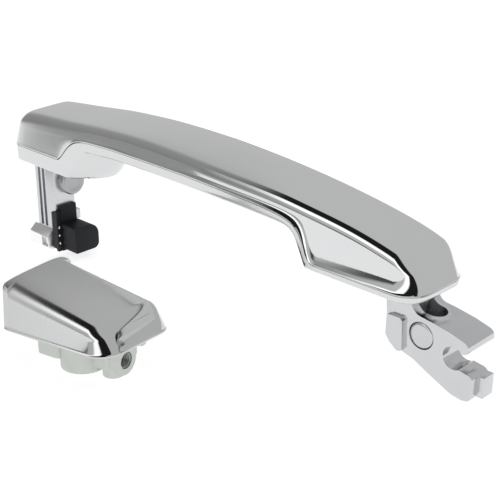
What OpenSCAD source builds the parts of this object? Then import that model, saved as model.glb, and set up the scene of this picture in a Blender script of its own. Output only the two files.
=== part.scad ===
// Chrome strap pull handle for a car door, with its separate end cap.
// X runs along the handle from the latch end to the hook end, Y across it, Z out of the door.
// Modules are drawn from the middle of the handle on the plane of the door skin, then moved so
// that the origin of the finished part is the centre of the hook's pivot notch. Sizes are in mm.

/* [Handle shell] */
// Length of the chrome shell over both ends
handle_l = 227; // [200:1:250]
// Widest point of the shell across the door
handle_w = 31.4; // [26:0.2:38]
// Wall thickness of the chrome shells
shell_t = 1.5; // [1:0.1:2.5]
// Plan radius of the shell corners at the latch end
rear_corner_r = 5; // [5:0.5:10]
// Plan radius of the near shell corner at the hook end
front_corner_r = 9.5; // [6:0.5:13]
// Plan radius of the far shell corner at the hook end
far_corner_r = 6.5; // [4:0.5:13]
// How far the latch end leans in from its foot to its top
rear_lean = 0.8; // [0:0.1:4]
// Slant of the latch end across its width, as a share of that width
rear_skew = 0.15; // [0:0.01:0.25]
// How far the hook end leans in from its foot to its top
front_lean = 0.2; // [0:0.1:4]
// Rise of the crowned top above a flat one
crown_h = 1.1; // [0:0.1:4]
// Radius of the soft top edge at the latch end
rear_edge_r = 5.8; // [3:0.1:6]
// Radius of the crisp top edge at the hook end
front_edge_r = 3.4; // [2:0.1:5]

/* [Grip] */
// Height of the shell edge above the door along the grip
grip_edge_z = 20.4; // [17:0.2:24]
// Height of the shell edge at the latch end
rear_edge_z = 7.6; // [5:0.1:10]
// Height of the shell edge at the hook end
front_edge_z = 2.8; // [2:0.1:5]
// Depth of the inner cover band below the shell along the grip
band_h = 4.2; // [3:0.1:6]
// Belly of the inner cover under the fingers
belly_h = 1.4; // [0:0.1:3]
// Reach of the rounded finger lobe from the latch end of the shell
lobe_reach = 52; // [40:1:60]

/* [Latch leg] */
// Size of the leg along the handle
leg_x = 14; // [10:0.2:18]
// Size of the leg across the handle
leg_y = 11; // [9:0.1:16]
// Depth of the leg below the door skin
leg_depth = 43; // [35:0.5:55]
// Radius of the round boss at the top of the leg
boss_r = 6.2; // [4:0.1:8]
// Depth of the boss centre below the door skin
boss_depth = 10.5; // [8:0.5:14]

/* [Guide shoe] */
// Reach of the shoe lug beyond its plate
lug_reach = 10; // [7:0.5:14]
// Width of the shoe lug across the handle
lug_w = 13.4; // [10:0.5:16]
// Height of the shoe lug
lug_h = 12.6; // [9:0.5:16]

/* [Pivot hook] */
// Width of the hook across the handle
hook_w = 15.4; // [12:0.5:18]
// Radius of the open notch that turns on the pivot pin
notch_r = 4.2; // [3:0.1:5.5]
// Width of the mouth of the notch
notch_mouth = 7; // [5:0.1:8]
// Distance of the notch from the middle of the handle
notch_x = 124.3; // [118:0.1:130]
// Depth of the notch centre below the door skin
notch_depth = 17; // [12:0.5:22]
// Width of the lower jaw
jaw_w = 9.4; // [8:0.1:13]

/* [End cap] */
// Length of the cap
cap_l = 51.5; // [42:0.5:60]
// Width of the cap
cap_w = 35; // [28:0.2:38]
// Height of the cap at its flat end, above its rim
cap_h = 16.6; // [13:0.2:22]
// Height of the cap shell where its low end starts to round over
cap_low_h = 9.4; // [5:0.2:12]
// Thread radius of the cap screw insert
thread_r = 2.5; // [2:0.1:3]
// Angle between the laid-out cap and the handle
cap_turn = 12; // [0:0.1:30]

/* [Hidden] */

// Clearance between parts that are only seated against each other.
seat_gap = 0.2;
// Number of steps around a quarter of a soft edge.
edge_steps = 4;
half_l = handle_l / 2;
half_w = handle_w / 2;

// Heights of the lower edge of the shell, along X.
lobe_x = -half_l + lobe_reach;
edge_knots = [
    [-half_l, rear_edge_z], [-79, rear_edge_z], [-76, rear_edge_z + 2], [-72.5, 13.2],
    [-69, 16.2], [-64.5, 18.4], [-57, 19.7], [-36, grip_edge_z], [0, grip_edge_z - 0.2],
    [24, 19.3], [44, 18.3], [53, 17.4], [58.5, 16], [62, 13.2], [64.5, 8.6], [66.5, 4.4],
    [69, front_edge_z], [half_l, front_edge_z]
];
// Heights of the top surface at its near (-Y) and far (+Y) edges, along X.
near_knots = [
    [-half_l, 20.4], [-98, 21.8], [-80, 22.8], [-52, 24.9], [-25, 26], [0, 25.4], [25, 23.8],
    [50, 22.2], [65, 20.6], [80, 18.9], [90, 17.2], [100, 14.9], [106, 13.4], [110, 12],
    [half_l, 10.6]
];
far_knots = [
    [-half_l, 22.6], [-98, 24.2], [-80, 25.8], [-52, 28.4], [-25, 29.3], [0, 28.9], [25, 27.7],
    [50, 25.6], [65, 23.7], [80, 21.3], [90, 19.4], [100, 17], [106, 14.9], [110, 13],
    [half_l, 11.2]
];
// Heights of the lower edge of the inner cover between the two bases.
cover_knots = [
    [-60, grip_edge_z - band_h - 1.4], [-36, grip_edge_z - band_h], [0, 15.8], [24, 15.2],
    [44, 14.6], [53, 14.1], [57, 13.2], [60.3, 10.6], [62.8, 5.6], [65.4, 0]
];

// Extra run of the swelling hook end, and the length over which it fades out along the sides.
hook_end_in = 3.8;
hook_end_run = 24;
// Share of a swelling end that belongs to its wall, and the slope it starts with.
wall_part = 0.4;
swell_start = 30;

// Radii of the round edge along X.
edge_r_knots = [[-half_l, rear_edge_r], [-60, rear_edge_r - 1], [60, front_edge_r], [half_l, front_edge_r]];

// Moves the drawing from the door skin to the pivot notch.
module from_notch() {
    translate([-notch_x, 0, notch_depth]) children();
}

function clamp01(t) = max(0, min(1, t));
function ease(t) = let (u = clamp01(t)) u * u * (3 - 2 * u);
function secant(k, i) = (k[i + 1][1] - k[i][1]) / (k[i + 1][0] - k[i][0]);
// Slope at a knot that never overshoots its neighbours.
function knot_slope(k, i) =
    i == 0 ? secant(k, 0)
    : i == len(k) - 1 ? secant(k, i - 1)
    : let (a = secant(k, i - 1), b = secant(k, i)) a * b <= 0 ? 0 : 2 * a * b / (a + b);
// Smooth curve through a list of knots.
function curve(k, x) =
    x <= k[0][0] ? k[0][1]
    : x >= k[len(k) - 1][0] ? k[len(k) - 1][1]
    : let (
        i = max([for (j = [0:len(k) - 2]) if (k[j][0] <= x) j]),
        w = k[i + 1][0] - k[i][0],
        t = (x - k[i][0]) / w,
        m0 = knot_slope(k, i) * w,
        m1 = knot_slope(k, i + 1) * w
    )
    k[i][1] * (2 * t * t * t - 3 * t * t + 1) + m0 * (t * t * t - 2 * t * t + t)
    + k[i + 1][1] * (3 * t * t - 2 * t * t * t) + m1 * (t * t * t - t * t);

// Plan outline of a long rounded plate, as [x, y, normal x, normal y] points.
// The near side runs from the middle of one corner to the middle of the next one.
function near_side(a, b, ra, rb, stations) = concat(
    [for (f = [45:15:75]) [-a + ra - ra * cos(f), -b + ra - ra * sin(f), -cos(f), -sin(f)]],
    [for (x = stations) [x, -b, 0, -1]],
    [for (f = [75:-15:45]) [a - rb + rb * cos(f), -b + rb - rb * sin(f), cos(f), -sin(f)]]
);
// One end, from the middle of the near corner to just before the middle of the far one.
function end_side(a, b, r, rf, s) = concat(
    [for (f = [45:-15:0]) [s * (a - r + r * cos(f)), -b + r - r * sin(f), s * cos(f), -sin(f)]],
    [[s * a, (r - rf) / 2, s, 0], [s * a, b - rf, s, 0]],
    [for (f = [15:15:30]) [s * (a - rf + rf * cos(f)), b - rf + rf * sin(f), s * cos(f), sin(f)]]
);
function flip(p) = [p[0], -p[1], p[2], -p[3]];
function back(v) = [for (i = [len(v) - 1:-1:0]) v[i]];
function tail(v) = [for (i = [1:len(v) - 1]) v[i]];
// The whole loop: near side, hook end, far side, latch end.
function plan_loop(a, b, ra, rb, rf, stations) = concat(
    near_side(a, b, ra, rb, stations),
    tail(end_side(a, b, rb, rf, 1)),
    [for (p = back(near_side(a, b, ra, rf, stations))) flip(p)],
    back(tail(end_side(a, b, ra, ra, -1)))
);

// Index of a point of the top grid in the loop, or past the rings for an inner point.
function grid_at(i, j, m, k, base, inner) =
    j == 0 ? base + i
    : i == m ? base + m + j
    : j == k ? base + m + k + (m - i)
    : i == 0 ? base + 2 * m + k + (k - j)
    : inner + (i - 1) * (k - 1) + j - 1;
function quad(a, b, c, d, out) = out ? [[a, b, c], [a, c, d]] : [[a, c, b], [a, d, c]];
function ring_faces(lo, hi, n, out) = [
    for (i = [0:n - 1]) let (j = (i + 1) % n) each quad(lo + i, hi + i, hi + j, lo + j, out)
];
function grid_faces(m, k, base, inner, out) = [
    for (i = [0:m - 1]) for (j = [0:k - 1])
        each quad(
            grid_at(i, j, m, k, base, inner), grid_at(i, j + 1, m, k, base, inner),
            grid_at(i + 1, j + 1, m, k, base, inner), grid_at(i + 1, j, m, k, base, inner), out
        )
];
// Inner points of a patch spread between the four sides of its loop.
function patch(l, m, k) = [
    for (i = [1:m - 1]) for (j = [1:k - 1])
        let (
            u = i / m, v = j / k,
            n0 = l[i], f0 = l[m + k + (m - i)], r0 = l[2 * m + k + (k - j)], h0 = l[m + j],
            c00 = l[0], c10 = l[m], c11 = l[m + k], c01 = l[2 * m + k]
        )
        (1 - v) * n0 + v * f0 + (1 - u) * r0 + u * h0
        - ((1 - u) * (1 - v) * c00 + u * (1 - v) * c10 + u * v * c11 + (1 - u) * v * c01)
];

// Handle surfaces.
// Slight narrowing of the plan towards both ends.
function bow(x) = 1 - (x < 0 ? 0.05 : 0.02) * pow(abs(x) / half_l, 4);
// Lean of the two ends, faded out along the sides.
function lean_at(x) =
    rear_lean * clamp01(1 - (x + half_l) / 24) - front_lean * clamp01(1 - (half_l - x) / 20);
// Slant of the latch end in plan, faded out along the sides.
function skew_at(x, y) = rear_skew * (y + half_w) * clamp01(1 - (x + half_l) / 24);
// Height of the crowned top, which is tilted across its width.
function top_z(x, y) = let (
        n = curve(near_knots, x), f = curve(far_knots, x), v = max(-1, min(1, y / half_w))
    ) (n + f) / 2 + v * (f - n) / 2 + crown_h * (1 - pow(v, 4));
// One point of the shell at a height share h of the wall and an inset d, off inside the skin.
function shell_xy(p, d, h, e = 0) = let (x = p[0] - p[2] * d, y = (p[1] - p[3] * d) * bow(p[0]))
    [x + h * lean_at(p[0]) + skew_at(p[0], y) - e * clamp01(1 - (half_l - p[0]) / hook_end_run), y];
// Share of a wall that swells from rim to top in one quarter curve: the end towards +X.
function swell_share(p) = p[0] > 0 ? pow(max(0, p[2]), 2) : 0;
function swell_turn(h, a) = swell_start + (90 - swell_start) * (wall_part * h + (1 - wall_part) * a / 90);
function swell_in(s) = (cos(swell_start) - cos(s)) / cos(swell_start);
function swell_up(s) = (sin(s) - sin(swell_start)) / (1 - sin(swell_start));
// The walls flare at their foot, more so towards the hook end.
function wall_inset(x, h) = (1 + 1.2 * ease(x / 60)) * (1 - pow(1 - h, 1 + 1.4 * ease(x / 60)));
function shell_ring(l, h, a, off) = [
    for (p = l)
        let (
            swell = swell_share(p),
            s = swell_turn(h, a),
            r = curve(edge_r_knots, p[0]) - off * 0.7,
            lo = curve(edge_knots, p[0]),
            plain = wall_inset(p[0], h) + r * (1 - cos(a)),
            curved = (wall_inset(p[0], 1) + r) * swell_in(s),
            inset = off + (1 - swell) * plain + swell * curved,
            q = shell_xy(p, inset, h, hook_end_in * swell_in(s)),
            zt = top_z(q[0], q[1]) - off,
            rv = min(r, zt - lo - 0.5),
            plain_z = (zt - rv - lo) * h + rv * sin(a)
        )
        [q[0], q[1], lo + (1 - swell) * plain_z + swell * (zt - lo) * swell_up(s)]
];
// The latch corners open out as the rings climb, so that the soft edge never folds.
function shell_rings(off) = concat(
    [for (h = [0, 0.3, 0.65]) shell_ring(handle_loop(1.5 * h), h, 0, off)],
    [for (a = [0:90 / edge_steps:90]) shell_ring(handle_loop(1.5 + a / 30), 1, a, off)]
);
function flat(v) = [for (a = v) each a];
// A skin made of a stack of rings closed by a crowned top patch.
function skin_points(rings, m, k, off, cap) = let (
        last = rings[len(rings) - 1],
        inner = patch(last, m, k)
    ) concat(flat(rings), [
        for (q = inner) [q[0], q[1], (cap ? cap_top_z(q[0], q[1]) : top_z(q[0], q[1])) - off]
    ]);
function skin_faces(n, count, m, k, start, out) = concat(
    flat([for (r = [0:count - 2]) ring_faces(start + r * n, start + (r + 1) * n, n, out)]),
    grid_faces(m, k, start + (count - 1) * n, start + count * n, out)
);
module shell_solid(outer, inner, m, k, cap) {
    n = len(outer[0]);
    po = skin_points(outer, m, k, 0, cap);
    pi_ = skin_points(inner, m, k, shell_t, cap);
    polyhedron(
        points = concat(po, pi_),
        faces = concat(
            skin_faces(n, len(outer), m, k, 0, true),
            skin_faces(n, len(inner), m, k, len(po), false),
            ring_faces(0, len(po), n, false)
        ),
        convexity = 8
    );
}

handle_stations = concat(
    [-98, -90, -84, -80], [for (x = [-78:2:-60]) x], [-56, -50, -42],
    [for (x = [-34:11:43]) x], [50, 54], [for (x = [56:1.5:69.5]) x], [73, 79, 86, 93, 99],
    [half_l - front_corner_r]
);
function handle_loop(open) = plan_loop(
    half_l, half_w, rear_corner_r + open, front_corner_r, far_corner_r,
    concat([-half_l + rear_corner_r + open], handle_stations)
);
handle_m = len(handle_stations) + 6;
end_k = 8;

module outer_shell() {
    color([0.84, 0.85, 0.87]) from_notch()
    shell_solid(shell_rings(0), shell_rings(shell_t), handle_m, end_k, false);
}

// Underside of the inner cover: two flat bases with the grip raised between them.
function lobe_edge(y) = lobe_x - 14 * pow(abs(y) / half_w, 1.7);
function cover_z(x, y) = let (
        v = min(1, abs(y) / half_w),
        grip = curve(cover_knots, x) - belly_h * (1 - v * v) * ease((x + 60) / 20) * ease((58 - x) / 8),
        t = clamp01((x - lobe_edge(y)) / 15),
        rise = t * t * (3 - 2 * t)
    ) grip * rise;
cover_inset = 0.3;
function grid_solid_faces(m, k, n, lower, lower_in, upper, upper_in) = concat(
    grid_faces(m, k, lower, lower_in, false),
    grid_faces(m, k, upper, upper_in, true),
    ring_faces(lower, upper, n, true)
);
module inner_cover() {
    l = [for (p = handle_loop(0)) shell_xy(p, cover_inset, 0)];
    n = len(l);
    mid = patch(l, handle_m, end_k);
    all = concat(l, mid);
    lower = [for (q = all) [q[0], q[1], cover_z(q[0], q[1])]];
    upper = [for (q = all) [q[0], q[1], curve(edge_knots, q[0]) - seat_gap]];
    color([0.80, 0.81, 0.82]) from_notch()
    difference() {
        polyhedron(
            points = concat(lower, upper),
            faces = grid_solid_faces(handle_m, end_k, n, 0, n, len(all), len(all) + n),
            convexity = 8
        );
        // Window for the leg and pocket for the hook root.
        translate([leg_x0 - 0.4, leg_y0 - 0.4, -1]) cube([leg_x + 0.8, leg_y + 0.8, 12]);
        translate([hook_x0 - 0.4, hook_y0 - 0.4, -1]) cube([hook_root_x + 0.8, hook_w + 0.8, 12]);
    }
}

// Bent steel beam that carries the pull from the hook to the leg.
beam_w = 21;
beam_t = 2.6;
beam_stations = concat(
    [-106, -92, -84, -80], [for (x = [-78:2:-60]) x], [-56, -50, -42],
    [for (x = [-34:11:43]) x], [50, 54], [for (x = [56:1.5:69.5]) x], [74, 84, 107]
);
module carrier_beam() {
    m = len(beam_stations);
    lo = [for (x = beam_stations) curve(edge_knots, x)];
    side = concat(
        [for (i = [0:m - 1]) [beam_stations[i], lo[i]]],
        [for (i = [m - 1:-1:0]) [beam_stations[i], lo[i] + beam_t]]
    );
    color([0.30, 0.31, 0.33]) from_notch()
    difference() {
        translate([0, beam_w / 2, 0]) rotate([90, 0, 0]) linear_extrude(beam_w) polygon(side);
        for (p = screw_spots) translate([p[0], p[1], p[2] - 1]) cylinder(r = screw_r + 0.25, h = 6, $fn = 48);
    }
}

screw_r = 2;
screw_len = 8;
screw_spots = [
    [-105, 0.15, rear_edge_z], [-99.6, 0.15, rear_edge_z],
    [98.4, -2.5, front_edge_z], [98.4, 4.5, front_edge_z]
];
// Two screws hold the leg and two hold the hook.
module carrier_screws() {
    color([0.62, 0.63, 0.65]) from_notch()
    for (p = screw_spots) translate(p) {
        translate([0, 0, -screw_len]) cylinder(r = screw_r, h = screw_len + beam_t, $fn = 48);
        translate([0, 0, beam_t]) difference() {
            cylinder(r = 2.6, h = 1.6, $fn = 64);
            translate([0, 0, 0.8]) cylinder(r = 1.2, h = 2, $fn = 6);
        }
    }
}

// Leg that reaches down to the latch.
leg_x0 = -109.8;
leg_y0 = -6;
leg_x1 = leg_x0 + leg_x;
leg_y1 = leg_y0 + leg_y;
boss_y = 2.4;
boss_pin_r = 3.5;
flute_d = 2.2;
module latch_leg() {
    color([0.74, 0.75, 0.77]) from_notch()
    difference() {
        union() {
            translate([leg_x0, leg_y0, -leg_depth]) cube([leg_x, leg_y, leg_depth + rear_edge_z]);
            // Catch on the far side that the shoe snaps behind.
            translate([leg_x1 - 3, leg_y1 - 1, -30]) cube([4.2, 3, 4.5]);
        }
        for (x = [2, 5.2]) {
            translate([leg_x0 + x, leg_y0 - 1, -33]) cube([1.9, 1 + flute_d, 40]);
            translate([leg_x0 + x, leg_y1 - flute_d, -33]) cube([1.9, 1 + flute_d, 40]);
        }
        // Relief under the base.
        translate([leg_x1 - 6, leg_y0 - 1, -4.5]) cube([7, 4, 4.5]);
        translate([leg_x1 - 9, boss_y, -boss_depth]) rotate([0, 90, 0])
            cylinder(r = boss_pin_r, h = 12, $fn = 64);
        for (p = screw_spots) if (p[0] < 0)
            translate([p[0], p[1], rear_edge_z - 10]) cylinder(r = screw_r, h = 12, $fn = 48);
        // Waist above the foot.
        translate([leg_x0 - 1, leg_y0 - 1, -leg_depth - 1]) cube([1.6, 3, 9]);
    }
}

boss_reach = 4.2;
module leg_boss() {
    color([0.78, 0.79, 0.80]) from_notch()
    translate([leg_x1, boss_y, -boss_depth]) rotate([0, 90, 0]) {
        cylinder(r = boss_r, h = boss_reach - 0.6, $fn = 96);
        translate([0, 0, boss_reach - 0.6]) cylinder(r1 = boss_r, r2 = boss_r - 0.6, h = 0.6, $fn = 96);
        translate([0, 0, -8.5]) cylinder(r = boss_pin_r, h = 9, $fn = 64);
    }
}

// Bright foot at the bottom of the leg that lifts the latch lever.
foot_reach = 3.7;
module leg_foot() {
    color([0.86, 0.87, 0.89]) from_notch()
    difference() {
        translate([leg_x0 - 2.6, leg_y0, 0]) rotate([90, 0, 90]) linear_extrude(leg_x - 0.2)
            polygon([[0, -leg_depth - 0.4], [-1.6, -leg_depth - 0.4], [-foot_reach, -leg_depth + 1],
                [-foot_reach, -36.6], [-2.4, -35.4], [0, -33.4]]);
        translate([leg_x0 + 6.6, leg_y0 - foot_reach - 1, -41.6]) cube([4.4, 3.2, 4.6]);
    }
}

shoe_t = 2.2;
lug_lift = 0.8;
shoe_top = 21.5;
module guide_shoe() {
    y0 = leg_y0 + 1.2;
    color([0.09, 0.09, 0.10]) from_notch()
    union() {
        translate([leg_x1, y0, -leg_depth - 0.4]) cube([shoe_t, leg_y - 2.2, leg_depth + 0.4 - shoe_top]);
        // Lip around the near corner of the leg.
        translate([leg_x1, leg_y0 - 0.9, -leg_depth - 0.4]) cube([shoe_t - 0.6, 2.4, leg_depth - 23]);
        translate([leg_x1 - 2.4, leg_y0 - 0.9, -leg_depth + 0.6]) cube([2.6, 0.8, leg_depth - 25]);
        // Rounded lug that runs in the latch guide.
        translate([leg_x1 + shoe_t - 0.5, 0, 0]) rotate([90, 0, 90]) linear_extrude(lug_reach + 0.5)
            difference() {
                translate([leg_y0 + 1.2, -leg_depth + lug_lift]) square([lug_w, lug_h]);
                // Round top corner.
                translate([leg_y0 + 1.2 + lug_w - 8, -leg_depth + lug_lift + lug_h - 8]) difference() {
                    square([9, 9]);
                    circle(r = 8, $fn = 96);
                }
                translate([leg_y0 + 1.2 + lug_w - 3, -leg_depth + lug_lift - 1]) difference() {
                    translate([0, -1]) square([4, 5]);
                    translate([0, 4]) circle(r = 3, $fn = 64);
                }
            }
    }
}

module shoe_studs() {
    color([0.86, 0.87, 0.89]) from_notch()
    for (z = [-31.5, -35.3, -39.2])
        translate([leg_x1 + shoe_t - 0.6, leg_y0 + 0.2, z]) rotate([0, 90, 0])
            cylinder(r = 0.7, h = 0.5, $fn = 32);
}

// Hook that hangs on the pivot pin of the door bracket.
hook_x0 = 95.6;
hook_root_x = 10.2;
hook_y0 = -6.5;
notch_z = -notch_depth;
hook_side = [
    [hook_x0, front_edge_z], [hook_x0 + 0.2, -5], [96.5, -14.4], [97.2, -17], [99, -19.4],
    [102.2, -21.7], [108.3, -23.3], [113.1, -25.7], [120, -28.8], [124.2, -30.6], [128.3, -31.3],
    [131.2, -30.8], [132.3, -29.6], [132.3, -22.2], [131.1, -21.2], [127, -20.6], [notch_x, -20.4],
    [notch_x, -14.2], [127, -14.3], [129, -14.2], [130, -13], [129.8, -11], [128.4, -9.8],
    [122.3, -8.2], [114.6, -6.9], [108.8, -6.2], [106.6, -4], [hook_x0 + hook_root_x, -1],
    [hook_x0 + hook_root_x, front_edge_z]
];
module hook_plate(y0, w) {
    translate([0, y0 + w, 0]) rotate([90, 0, 0]) linear_extrude(w) polygon(hook_side);
}
module pivot_hook() {
    color([0.78, 0.79, 0.81]) from_notch()
    difference() {
        union() {
            difference() {
                hook_plate(hook_y0, hook_w);
                // The lower jaw is narrower than the upper one.
                translate([106, hook_y0 + jaw_w, -40]) cube([40, 10, 40 - notch_depth - 2.5]);
                // Web pocket between the cheeks.
                translate([104, hook_y0 + 3.6, -14]) cube([7, 8.4, 30]);
                translate([111, hook_y0 + 7.8, -14]) cylinder(r = 4.2, h = 30, $fn = 64);
            }
            // Raised pad on the near cheek.
            translate([0, hook_y0 + 0.5, 0]) rotate([90, 0, 0]) linear_extrude(2.5)
                polygon([
                    [97.6, -8.8], [103.2, -8.6], [104.2, -9.6], [104.6, -21],
                    [102.4, -21.4], [99.2, -19], [97.4, -16.6]
                ]);
            // Toe that stops the hook in the bracket.
            translate([130, hook_y0 + 3.5, -29.8]) cube([4.6, jaw_w - 3.5, 7.6]);
        }
        translate([notch_x, 30, notch_z]) rotate([90, 0, 0]) cylinder(r = notch_r, h = 60, $fn = 96);
        translate([notch_x, -20, notch_z - notch_mouth / 2]) cube([20, 40, notch_mouth - 1.2]);
        translate([111, hook_y0 - 1, -13.4]) rotate([-90, 0, 0]) cylinder(r = pin_r, h = 5, $fn = 64);
        for (p = screw_spots) if (p[0] > 0)
            translate([p[0], p[1], front_edge_z - 10]) cylinder(r = screw_r, h = 12, $fn = 48);
    }
}

pin_r = 4.8;
module hook_pin() {
    color([0.80, 0.81, 0.83]) from_notch()
    translate([111, hook_y0 + 0.3, -13.4]) rotate([-90, 0, 0]) cylinder(r = pin_r, h = 3.1, $fn = 96);
}

// End cap, drawn in its own frame: flat end at X 0, rim on Z 0.
cap_lip = 0.35;
cap_tilt = 1.3;
cap_near_knots = [
    [0, cap_h], [9, cap_h - 1.9], [22, cap_h - 4.2], [36, cap_h - 6.6], [cap_l - 10, cap_low_h - 0.4],
    [cap_l - 5, cap_low_h - 1.2], [cap_l, cap_low_h - 2.2]
];
function cap_crown(x) = 1.9 - 0.9 * clamp01(x / cap_l);
function cap_top_z(x, y) = let (v = max(-1, min(1, 2 * y / cap_w)))
    curve(cap_near_knots, x) + cap_tilt * (1 + v) + cap_crown(x) * (1 - pow(v, 4));
cap_rim_z = 1.1;
cap_edge_r = 3.4;
// How much softer the long edges are at the flat end than at the low end.
cap_edge_more = 1.4;
cap_end_in = 3.4;
cap_end_run = 18;
function cap_xy(p, d, e) = let (
        x = p[0] - p[2] * d + cap_l / 2,
        y = p[1] - p[3] * d
    ) [x + 0.12 * y - e * clamp01((p[0] - cap_l / 2 + cap_end_run) / cap_end_run), y];
function cap_ring(l, out, h, a, off) = [
    for (p = l)
        let (
            swell = swell_share(p),
            s = swell_turn(h, a),
            soft = cap_edge_r + cap_edge_more * clamp01(1 - (p[0] + cap_l / 2) / cap_l),
            r = max(0.4, (p[0] < -cap_l / 2 + 4 ? 0.45 * cap_edge_r : soft) - off * 0.7),
            flare = 1.5 - 1.1 * max(0, -p[2]),
            plain = flare * h + r * (1 - cos(a)),
            curved = (flare + r) * swell_in(s),
            inset = off - (p[2] < -0.4 ? 0 : out) + (1 - swell) * plain + swell * curved,
            q = cap_xy(p, inset, cap_end_in * swell_in(s)),
            zt = cap_top_z(q[0], q[1]) - off,
            rv = min(r, zt - cap_rim_z - 0.5),
            plain_z = (zt - rv - cap_rim_z) * h + rv * sin(a)
        )
        [q[0], q[1], cap_rim_z + (1 - swell) * plain_z + swell * (zt - cap_rim_z) * swell_up(s)]
];
function at_z(ring, z) = [for (p = ring) [p[0], p[1], z]];
function cap_rings(l, off) = concat(
    [at_z(cap_ring(l, off > 0 ? 0 : cap_lip, 0, 0, off), 0)],
    [at_z(cap_ring(l, off > 0 ? 0 : cap_lip, 0, 0, off), cap_rim_z - 0.2)],
    [for (h = [0, 0.35, 0.7]) cap_ring(l, 0, h, 0, off)],
    [for (a = [0:90 / edge_steps:90]) cap_ring(l, 0, 1, a, off)]
);
cap_stations = [for (t = [0:13]) -cap_l / 2 + 4.2 + t * (cap_l - 4.2 - 8.5) / 13];
cap_loop = plan_loop(cap_l / 2, cap_w / 2, 4.2, 8.5, 6, cap_stations);
cap_m = len(cap_stations) + 5;

cap_place = [-30.2, -65.4, -32.2];
module cap_frame() {
    translate(cap_place) rotate([0, 0, cap_turn]) children();
}

module cap_shell() {
    color([0.84, 0.85, 0.87]) from_notch()
    cap_frame() shell_solid(cap_rings(cap_loop, 0), cap_rings(cap_loop, shell_t), cap_m, end_k, true);
}

// Dull cast base under the cap shell, with the lobes that locate it in the door.
insert_y = -3.2;
plate_t = 1.6;
insert_z = -6.2;
body_x0 = 12;
insert_r = 3.3;
insert_len = 11;
boss_x1 = cap_l - 4;
module cap_body() {
    color([0.60, 0.62, 0.60]) from_notch()
    cap_frame() difference() {
        union() {
            // Plate inside the rim.
            linear_extrude(plate_t) polygon([[3.8, -12.9], [38, -12.9], [43.6, -7], [46, 12.9], [6, 12.9]]);
            translate([body_x0, -13.5, -8]) cube([12, 22, 8]);
            translate([body_x0 + 17, -5.6, -11.4]) cylinder(r = 9, h = 11.4, $fn = 96);
            translate([body_x0 + 14, -10, -8.6]) cube([18.5, 18, 8.6]);
            // Boss for the cap screw.
            translate([boss_x1 - 13, insert_y, insert_z]) rotate([0, 90, 0])
                cylinder(r = 5.8, h = 13, $fn = 96);
            translate([boss_x1 - 13, insert_y - 5.8, insert_z]) cube([13, 11.6, -insert_z]);
            translate([boss_x1 - 4.6, insert_y - 2, -12]) cylinder(r = 4.2, h = 8, $fn = 64);
        }
        translate([boss_x1 - insert_len, insert_y, insert_z]) rotate([0, 90, 0])
            cylinder(r = insert_r, h = 20, $fn = 96);
    }
}

// Threaded insert that takes the cap screw.
module cap_insert() {
    color([0.40, 0.41, 0.40]) from_notch()
    cap_frame() translate([boss_x1 - insert_len, insert_y, insert_z]) rotate([0, 90, 0]) difference() {
        cylinder(r = insert_r, h = insert_len - 0.4, $fn = 96);
        translate([0, 0, 1]) cylinder(r = thread_r, h = insert_len, $fn = 96);
    }
}

peg_x = 43.6;
peg_y = 10.8;
peg_len = 6.2;
module cap_peg() {
    color([0.72, 0.74, 0.72]) from_notch()
    cap_frame() translate([peg_x, peg_y, -peg_len]) {
        cylinder(r = 2, h = peg_len, $fn = 64);
        translate([0, 0, -0.8]) cylinder(r1 = 1.3, r2 = 2, h = 0.8, $fn = 64);
    }
}

outer_shell();
inner_cover();
carrier_beam();
carrier_screws();
latch_leg();
leg_boss();
leg_foot();
guide_shoe();
shoe_studs();
pivot_hook();
hook_pin();
cap_shell();
cap_body();
cap_insert();
cap_peg();
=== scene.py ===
import math

import bmesh
import bpy
import numpy as np
from mathutils import Matrix, Vector


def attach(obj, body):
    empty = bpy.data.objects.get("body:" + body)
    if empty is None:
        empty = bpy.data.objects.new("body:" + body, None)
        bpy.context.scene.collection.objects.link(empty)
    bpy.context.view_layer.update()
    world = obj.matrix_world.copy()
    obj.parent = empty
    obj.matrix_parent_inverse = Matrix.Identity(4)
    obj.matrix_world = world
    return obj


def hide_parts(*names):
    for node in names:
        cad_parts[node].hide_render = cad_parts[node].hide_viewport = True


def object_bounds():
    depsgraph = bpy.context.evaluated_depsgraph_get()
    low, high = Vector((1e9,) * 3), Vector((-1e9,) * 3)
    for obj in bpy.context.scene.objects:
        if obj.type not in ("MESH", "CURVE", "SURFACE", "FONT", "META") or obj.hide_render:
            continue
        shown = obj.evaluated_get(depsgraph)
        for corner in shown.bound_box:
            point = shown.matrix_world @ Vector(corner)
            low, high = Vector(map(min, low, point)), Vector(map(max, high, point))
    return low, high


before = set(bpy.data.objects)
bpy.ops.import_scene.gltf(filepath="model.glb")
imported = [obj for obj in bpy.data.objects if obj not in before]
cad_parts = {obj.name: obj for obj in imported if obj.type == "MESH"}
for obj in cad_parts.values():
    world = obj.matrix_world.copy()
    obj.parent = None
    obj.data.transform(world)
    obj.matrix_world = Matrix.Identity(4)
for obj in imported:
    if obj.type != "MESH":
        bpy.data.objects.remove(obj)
cad_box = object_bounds()

# Lengths below are millimetres in the drawing's own frame, whose origin is the middle of the handle
# on the door skin. FROM_NOTCH moves them to the frame of the CAD, in metres.
MM = 0.001
NOTCH_X = 124.3
NOTCH_DEPTH = 17
FROM_NOTCH = Matrix.Scale(MM, 4) @ Matrix.Translation((-NOTCH_X, 0, NOTCH_DEPTH))
CAP_PLACE = Vector((-30.2, -65.4, -32.2))
CAP_TURN = math.radians(12)
FROM_CAP = FROM_NOTCH @ Matrix.Translation(CAP_PLACE) @ Matrix.Rotation(CAP_TURN, 4, "Z")

HANDLE_L = 227
HANDLE_W = 31.4
HALF_L = HANDLE_L / 2
HALF_W = HANDLE_W / 2
SHELL_T = 1.5
RIM_R = 0.35
REAR_CORNER_R = 5
FRONT_CORNER_R = 9.5
FAR_CORNER_R = 6.5
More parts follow.
